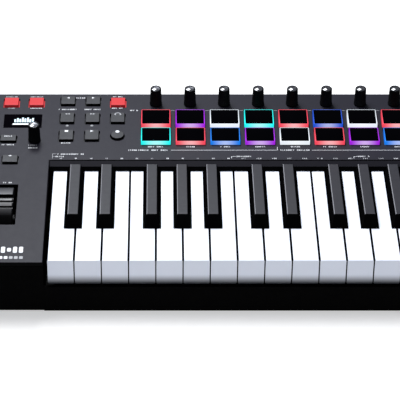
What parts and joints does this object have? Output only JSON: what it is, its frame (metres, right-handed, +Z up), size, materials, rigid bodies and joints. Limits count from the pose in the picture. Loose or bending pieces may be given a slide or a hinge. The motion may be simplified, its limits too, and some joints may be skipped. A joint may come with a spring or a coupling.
{
  "type": "midi keyboard controller",
  "caption": "Compact desktop MIDI keyboard with full-size sprung keys, lit trigger pads, rotary knobs, lit buttons, a small display, an encoder, a fader and two wheels.",
  "frame": {"origin": "centre of the overall box, at the underside of the feet", "axes": "+X to the player's right along the keys, +Y away from the player towards the rear sockets, +Z up"},
  "size_m": [0.504, 0.2516, 0.085],
  "materials": {
    "panel_grey": "fine textured, satin",
    "case_black": "fine textured, matte",
    "chassis_black": "moulded, matte",
    "board": "solder mask",
    "silicone": "satin silicone",
    "display_glass": "gloss lens",
    "socket_metal": "plated",
    "screw_steel": "blackened",
    "foot_rubber": "matte",
    "key_white": "polished",
    "key_black": "satin",
    "knob_black": "satin soft-touch",
    "wheel_black": "satin rubber",
    "fader_black": "satin",
    "button_red": "translucent, lit red",
    "button_grey": "satin rubberised",
    "print_white": "screen print",
    "pad_light": "translucent silicone, lit from inside"
  },
  "bodies": {
    "case": {"top_case": "panel_grey", "bottom_case": "case_black", "keybed_chassis": "chassis_black", "circuit_boards": "board", "silicone_mats": "silicone", "display_module": "display_glass", "rear_sockets": "socket_metal", "screws": "screw_steel", "feet": "foot_rubber"},
    "white_key_01": {"white_key_01": "key_white"},
    "white_key_02": {"white_key_02": "key_white"},
    "white_key_03": {"white_key_03": "key_white"},
    "white_key_04": {"white_key_04": "key_white"},
    "white_key_05": {"white_key_05": "key_white"},
    "white_key_06": {"white_key_06": "key_white"},
    "white_key_07": {"white_key_07": "key_white"},
    "white_key_08": {"white_key_08": "key_white"},
    "white_key_09": {"white_key_09": "key_white"},
    "white_key_10": {"white_key_10": "key_white"},
    "white_key_11": {"white_key_11": "key_white"},
    "white_key_12": {"white_key_12": "key_white"},
    "white_key_13": {"white_key_13": "key_white"},
    "white_key_14": {"white_key_14": "key_white"},
    "white_key_15": {"white_key_15": "key_white"},
    "black_key_01": {"black_key_01": "key_black"},
    "black_key_02": {"black_key_02": "key_black"},
    "black_key_03": {"black_key_03": "key_black"},
    "black_key_04": {"black_key_04": "key_black"},
    "black_key_05": {"black_key_05": "key_black"},
    "black_key_06": {"black_key_06": "key_black"},
    "black_key_07": {"black_key_07": "key_black"},
    "black_key_08": {"black_key_08": "key_black"},
    "black_key_09": {"black_key_09": "key_black"},
    "black_key_10": {"black_key_10": "key_black"},
    "knob_1": {"knob_1": "knob_black"},
    "knob_2": {"knob_2": "knob_black"},
    "knob_3": {"knob_3": "knob_black"},
    "knob_4": {"knob_4": "knob_black"},
    "knob_5": {"knob_5": "knob_black"},
    "knob_6": {"knob_6": "knob_black"},
    "knob_7": {"knob_7": "knob_black"},
    "knob_8": {"knob_8": "knob_black"},
    "encoder_knob": {"encoder_knob": "knob_black"},
    "pitch_wheel": {"pitch_wheel": "wheel_black"},
    "mod_wheel": {"mod_wheel": "wheel_black"},
    "fader_cap": {"fader_cap": "fader_black"},
    "red_button_1": {"red_button_1": "button_red"},
    "red_button_2": {"red_button_2": "button_red"},
    "red_button_3": {"red_button_3": "button_red"},
    "bank_button_1": {"bank_button_1": "button_grey"},
    "bank_button_2": {"bank_button_2": "button_grey"},
    "rewind_button": {"rewind_button": "button_grey"},
    "forward_button": {"forward_button": "button_grey"},
    "loop_button": {"loop_button": "button_grey"},
    "stop_button": {"stop_button": "button_grey"},
    "play_button": {"play_button": "button_grey"},
    "record_button": {"record_button": "button_grey"},
    "shift_button": {"shift_button": "button_grey"},
    "octave_button_1": {"octave_button_1": "button_grey"},
    "octave_button_2": {"octave_button_2": "button_grey"}
  },
  "joints": [
    {"name": "white_key_01_press", "type": "hinge", "parent": "case", "child": "white_key_01", "pos_m": [-0.10221, 0.03585, 0.047], "axis": [1, 0, 0], "range_deg": [0, 3.6], "stiffness_Nm_per_rad": 1, "springref_deg": -2.29},
    {"name": "white_key_02_press", "type": "hinge", "parent": "case", "child": "white_key_02", "pos_m": [-0.07864, 0.03585, 0.047], "axis": [1, 0, 0], "range_deg": [0, 3.6], "stiffness_Nm_per_rad": 1, "springref_deg": -2.29},
    {"name": "white_key_03_press", "type": "hinge", "parent": "case", "child": "white_key_03", "pos_m": [-0.05507, 0.03585, 0.047], "axis": [1, 0, 0], "range_deg": [0, 3.6], "stiffness_Nm_per_rad": 1, "springref_deg": -2.29},
    {"name": "white_key_04_press", "type": "hinge", "parent": "case", "child": "white_key_04", "pos_m": [-0.0315, 0.03585, 0.047], "axis": [1, 0, 0], "range_deg": [0, 3.6], "stiffness_Nm_per_rad": 1, "springref_deg": -2.29},
    {"name": "white_key_05_press", "type": "hinge", "parent": "case", "child": "white_key_05", "pos_m": [-0.00793, 0.03585, 0.047], "axis": [1, 0, 0], "range_deg": [0, 3.6], "stiffness_Nm_per_rad": 1, "springref_deg": -2.29},
    {"name": "white_key_06_press", "type": "hinge", "parent": "case", "child": "white_key_06", "pos_m": [0.01564, 0.03585, 0.047], "axis": [1, 0, 0], "range_deg": [0, 3.6], "stiffness_Nm_per_rad": 1, "springref_deg": -2.29},
    {"name": "white_key_07_press", "type": "hinge", "parent": "case", "child": "white_key_07", "pos_m": [0.03921, 0.03585, 0.047], "axis": [1, 0, 0], "range_deg": [0, 3.6], "stiffness_Nm_per_rad": 1, "springref_deg": -2.29},
    {"name": "white_key_08_press", "type": "hinge", "parent": "case", "child": "white_key_08", "pos_m": [0.06279, 0.03585, 0.047], "axis": [1, 0, 0], "range_deg": [0, 3.6], "stiffness_Nm_per_rad": 1, "springref_deg": -2.29},
    {"name": "white_key_09_press", "type": "hinge", "parent": "case", "child": "white_key_09", "pos_m": [0.08636, 0.03585, 0.047], "axis": [1, 0, 0], "range_deg": [0, 3.6], "stiffness_Nm_per_rad": 1, "springref_deg": -2.29},
    {"name": "white_key_10_press", "type": "hinge", "parent": "case", "child": "white_key_10", "pos_m": [0.10993, 0.03585, 0.047], "axis": [1, 0, 0], "range_deg": [0, 3.6], "stiffness_Nm_per_rad": 1, "springref_deg": -2.29},
    {"name": "white_key_11_press", "type": "hinge", "parent": "case", "child": "white_key_11", "pos_m": [0.1335, 0.03585, 0.047], "axis": [1, 0, 0], "range_deg": [0, 3.6], "stiffness_Nm_per_rad": 1, "springref_deg": -2.29},
    {"name": "white_key_12_press", "type": "hinge", "parent": "case", "child": "white_key_12", "pos_m": [0.15707, 0.03585, 0.047], "axis": [1, 0, 0], "range_deg": [0, 3.6], "stiffness_Nm_per_rad": 1, "springref_deg": -2.29},
    {"name": "white_key_13_press", "type": "hinge", "parent": "case", "child": "white_key_13", "pos_m": [0.18064, 0.03585, 0.047], "axis": [1, 0, 0], "range_deg": [0, 3.6], "stiffness_Nm_per_rad": 1, "springref_deg": -2.29},
    {"name": "white_key_14_press", "type": "hinge", "parent": "case", "child": "white_key_14", "pos_m": [0.20421, 0.03585, 0.047], "axis": [1, 0, 0], "range_deg": [0, 3.6], "stiffness_Nm_per_rad": 1, "springref_deg": -2.29},
    {"name": "white_key_15_press", "type": "hinge", "parent": "case", "child": "white_key_15", "pos_m": [0.22779, 0.03585, 0.047], "axis": [1, 0, 0], "range_deg": [0, 3.6], "stiffness_Nm_per_rad": 1, "springref_deg": -2.29},
    {"name": "black_key_01_press", "type": "hinge", "parent": "case", "child": "black_key_01", "pos_m": [-0.09283, 0.03585, 0.047], "axis": [1, 0, 0], "range_deg": [0, 3.6], "stiffness_Nm_per_rad": 1, "springref_deg": -2.29},
    {"name": "black_key_02_press", "type": "hinge", "parent": "case", "child": "black_key_02", "pos_m": [-0.06446, 0.03585, 0.047], "axis": [1, 0, 0], "range_deg": [0, 3.6], "stiffness_Nm_per_rad": 1, "springref_deg": -2.29},
    {"name": "black_key_03_press", "type": "hinge", "parent": "case", "child": "black_key_03", "pos_m": [-0.02321, 0.03585, 0.047], "axis": [1, 0, 0], "range_deg": [0, 3.6], "stiffness_Nm_per_rad": 1, "springref_deg": -2.29},
    {"name": "black_key_04_press", "type": "hinge", "parent": "case", "child": "black_key_04", "pos_m": [0.00386, 0.03585, 0.047], "axis": [1, 0, 0], "range_deg": [0, 3.6], "stiffness_Nm_per_rad": 1, "springref_deg": -2.29},
    {"name": "black_key_05_press", "type": "hinge", "parent": "case", "child": "black_key_05", "pos_m": [0.03093, 0.03585, 0.047], "axis": [1, 0, 0], "range_deg": [0, 3.6], "stiffness_Nm_per_rad": 1, "springref_deg": -2.29},
    {"name": "black_key_06_press", "type": "hinge", "parent": "case", "child": "black_key_06", "pos_m": [0.07217, 0.03585, 0.047], "axis": [1, 0, 0], "range_deg": [0, 3.6], "stiffness_Nm_per_rad": 1, "springref_deg": -2.29},
    {"name": "black_key_07_press", "type": "hinge", "parent": "case", "child": "black_key_07", "pos_m": [0.10054, 0.03585, 0.047], "axis": [1, 0, 0], "range_deg": [0, 3.6], "stiffness_Nm_per_rad": 1, "springref_deg": -2.29},
    {"name": "black_key_08_press", "type": "hinge", "parent": "case", "child": "black_key_08", "pos_m": [0.14179, 0.03585, 0.047], "axis": [1, 0, 0], "range_deg": [0, 3.6], "stiffness_Nm_per_rad": 1, "springref_deg": -2.29},
    {"name": "black_key_09_press", "type": "hinge", "parent": "case", "child": "black_key_09", "pos_m": [0.16886, 0.03585, 0.047], "axis": [1, 0, 0], "range_deg": [0, 3.6], "stiffness_Nm_per_rad": 1, "springref_deg": -2.29},
    {"name": "black_key_10_press", "type": "hinge", "parent": "case", "child": "black_key_10", "pos_m": [0.19593, 0.03585, 0.047], "axis": [1, 0, 0], "range_deg": [0, 3.6], "stiffness_Nm_per_rad": 1, "springref_deg": -2.29},
    {"name": "knob_1_turn", "type": "hinge", "parent": "case", "child": "knob_1", "pos_m": [-0.02, 0.10923, 0.06681], "axis": [0, 0.0523, -0.9986], "range_deg": [0, 270]},
    {"name": "knob_2_turn", "type": "hinge", "parent": "case", "child": "knob_2", "pos_m": [0.01215, 0.10923, 0.06681], "axis": [0, 0.0523, -0.9986], "range_deg": [0, 270]},
    {"name": "knob_3_turn", "type": "hinge", "parent": "case", "child": "knob_3", "pos_m": [0.0443, 0.10923, 0.06681], "axis": [0, 0.0523, -0.9986], "range_deg": [0, 270]},
    {"name": "knob_4_turn", "type": "hinge", "parent": "case", "child": "knob_4", "pos_m": [0.07645, 0.10923, 0.06681], "axis": [0, 0.0523, -0.9986], "range_deg": [0, 270]},
    {"name": "knob_5_turn", "type": "hinge", "parent": "case", "child": "knob_5", "pos_m": [0.1086, 0.10923, 0.06681], "axis": [0, 0.0523, -0.9986], "range_deg": [0, 270]},
    {"name": "knob_6_turn", "type": "hinge", "parent": "case", "child": "knob_6", "pos_m": [0.14075, 0.10923, 0.06681], "axis": [0, 0.0523, -0.9986], "range_deg": [0, 270]},
    {"name": "knob_7_turn", "type": "hinge", "parent": "case", "child": "knob_7", "pos_m": [0.1729, 0.10923, 0.06681], "axis": [0, 0.0523, -0.9986], "range_deg": [0, 270]},
    {"name": "knob_8_turn", "type": "hinge", "parent": "case", "child": "knob_8", "pos_m": [0.20505, 0.10923, 0.06681], "axis": [0, 0.0523, -0.9986], "range_deg": [0, 270]},
    {"name": "encoder_knob_turn", "type": "hinge", "parent": "case", "child": "encoder_knob", "pos_m": [-0.1322, 0.05141, 0.06378], "axis": [0, -0.0523, 0.9986], "continuous": true},
    {"name": "pitch_wheel_turn", "type": "hinge", "parent": "case", "child": "pitch_wheel", "pos_m": [-0.1894, -0.04455, 0.04026], "axis": [1, 0, 0], "range_deg": [-45, 45], "stiffness_Nm_per_rad": 0.05},
    {"name": "mod_wheel_turn", "type": "hinge", "parent": "case", "child": "mod_wheel", "pos_m": [-0.1534, -0.04455, 0.04026], "axis": [1, 0, 0], "range_deg": [-45, 45]},
    {"name": "fader_cap_slide", "type": "slide", "parent": "case", "child": "fader_cap", "axis": [0, 0.9986, 0.0523], "range_m": [-0.015, 0.015]},
    {"name": "red_button_1_press", "type": "slide", "parent": "case", "child": "red_button_1", "axis": [0, 0.0523, -0.9986], "range_m": [0, 0.001], "stiffness_N_per_m": 500, "springref_m": -0.001},
    {"name": "red_button_2_press", "type": "slide", "parent": "case", "child": "red_button_2", "axis": [0, 0.0523, -0.9986], "range_m": [0, 0.001], "stiffness_N_per_m": 500, "springref_m": -0.001},
    {"name": "red_button_3_press", "type": "slide", "parent": "case", "child": "red_button_3", "axis": [0, 0.0523, -0.9986], "range_m": [0, 0.001], "stiffness_N_per_m": 500, "springref_m": -0.001},
    {"name": "bank_button_1_press", "type": "slide", "parent": "case", "child": "bank_button_1", "axis": [0, 0.0523, -0.9986], "range_m": [0, 0.001], "stiffness_N_per_m": 500, "springref_m": -0.001},
    {"name": "bank_button_2_press", "type": "slide", "parent": "case", "child": "bank_button_2", "axis": [0, 0.0523, -0.9986], "range_m": [0, 0.001], "stiffness_N_per_m": 500, "springref_m": -0.001},
    {"name": "rewind_button_press", "type": "slide", "parent": "case", "child": "rewind_button", "axis": [0, 0.0523, -0.9986], "range_m": [0, 0.001], "stiffness_N_per_m": 500, "springref_m": -0.001},
    {"name": "forward_button_press", "type": "slide", "parent": "case", "child": "forward_button", "axis": [0, 0.0523, -0.9986], "range_m": [0, 0.001], "stiffness_N_per_m": 500, "springref_m": -0.001},
    {"name": "loop_button_press", "type": "slide", "parent": "case", "child": "loop_button", "axis": [0, 0.0523, -0.9986], "range_m": [0, 0.001], "stiffness_N_per_m": 500, "springref_m": -0.001},
    {"name": "stop_button_press", "type": "slide", "parent": "case", "child": "stop_button", "axis": [0, 0.0523, -0.9986], "range_m": [0, 0.001], "stiffness_N_per_m": 500, "springref_m": -0.001},
    {"name": "play_button_press", "type": "slide", "parent": "case", "child": "play_button", "axis": [0, 0.0523, -0.9986], "range_m": [0, 0.001], "stiffness_N_per_m": 500, "springref_m": -0.001},
    {"name": "record_button_press", "type": "slide", "parent": "case", "child": "record_button", "axis": [0, 0.0523, -0.9986], "range_m": [0, 0.001], "stiffness_N_per_m": 500, "springref_m": -0.001},
    {"name": "shift_button_press", "type": "slide", "parent": "case", "child": "shift_button", "axis": [0, 0.0523, -0.9986], "range_m": [0, 0.001], "stiffness_N_per_m": 500, "springref_m": -0.001},
    {"name": "octave_button_1_press", "type": "slide", "parent": "case", "child": "octave_button_1", "axis": [0, 0.0523, -0.9986], "range_m": [0, 0.001], "stiffness_N_per_m": 500, "springref_m": -0.001},
    {"name": "octave_button_2_press", "type": "slide", "parent": "case", "child": "octave_button_2", "axis": [0, 0.0523, -0.9986], "range_m": [0, 0.001], "stiffness_N_per_m": 500, "springref_m": -0.001}
  ]
}
